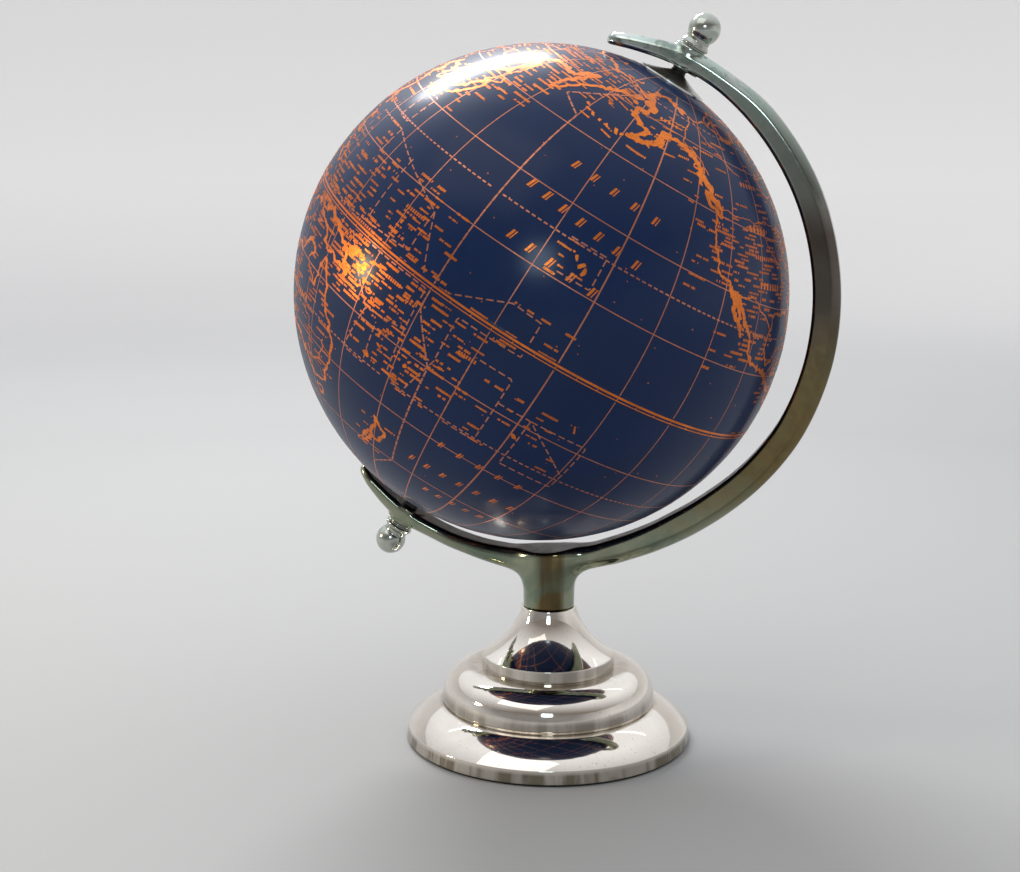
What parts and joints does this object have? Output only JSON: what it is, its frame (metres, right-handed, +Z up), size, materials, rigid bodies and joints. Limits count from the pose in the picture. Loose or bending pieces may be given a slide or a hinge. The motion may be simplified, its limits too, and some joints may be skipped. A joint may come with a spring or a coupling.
{
  "type": "desktop globe",
  "caption": "Tabletop terrestrial globe that turns on a tilted axle in a one-sided metal meridian arm, on a stem and a stepped round base.",
  "frame": {"origin": "centre of the felt pad's flat underside, on the axis of the stem and the round base", "axes": "+Z up along the stem; the meridian arm lies in the XZ plane with its arc on the +X side, and the axle leans towards +X at its north end"},
  "size_m": [0.2238, 0.2034, 0.303],
  "materials": {
    "felt": "dense dark felt",
    "ballast_iron": "raw cast iron",
    "base_nickel": "mirror-polished nickel plate on spun metal",
    "arm_nickel": "hand-polished nickel plate on cast metal",
    "finial_nickel": "polished nickel plate on turned brass",
    "washer_nickel": "nickel plate",
    "cap_nickel": "polished nickel plate on sheet metal",
    "axle_steel": "plain threaded steel",
    "fastener_steel": "zinc-plated steel",
    "black_nylon": "black nylon",
    "white_nylon": "natural nylon",
    "shell_plastic": "moulded plastic",
    "map_print": "lacquered navy paper with copper foil print",
    "copper_foil": "copper foil on paper tape",
    "tube_board": "wound cardboard tube",
    "eyelet_brass": "polished brass"
  },
  "bodies": {
    "stand": {"felt_pad": "felt", "ballast_disc": "ballast_iron", "base_flange": "base_nickel", "base_dome": "base_nickel", "base_cone": "base_nickel", "base_bolt": "fastener_steel", "spring_washer": "fastener_steel", "bolt_washer": "fastener_steel", "meridian_arm": "arm_nickel", "axle_rod": "axle_steel", "upper_spacer": "black_nylon", "lower_spacer": "black_nylon", "finial_flat_washer": "washer_nickel", "finial_lock_washer": "washer_nickel", "upper_finial": "finial_nickel", "lower_finial": "finial_nickel"},
    "globe": {"north_shell": "shell_plastic", "south_shell": "shell_plastic", "north_map": "map_print", "south_map": "map_print", "joining_ring": "shell_plastic", "equator_tape": "copper_foil", "north_bush": "white_nylon", "south_bush": "white_nylon", "axle_tube": "tube_board", "pole_cap": "cap_nickel", "south_eyelet": "eyelet_brass"}
  },
  "joints": [
    {"name": "globe_spin", "type": "hinge", "parent": "stand", "child": "globe", "pos_m": [-0.0046, 0, 0.1904], "axis": [0.5225, 0, 0.8526], "continuous": true}
  ]
}
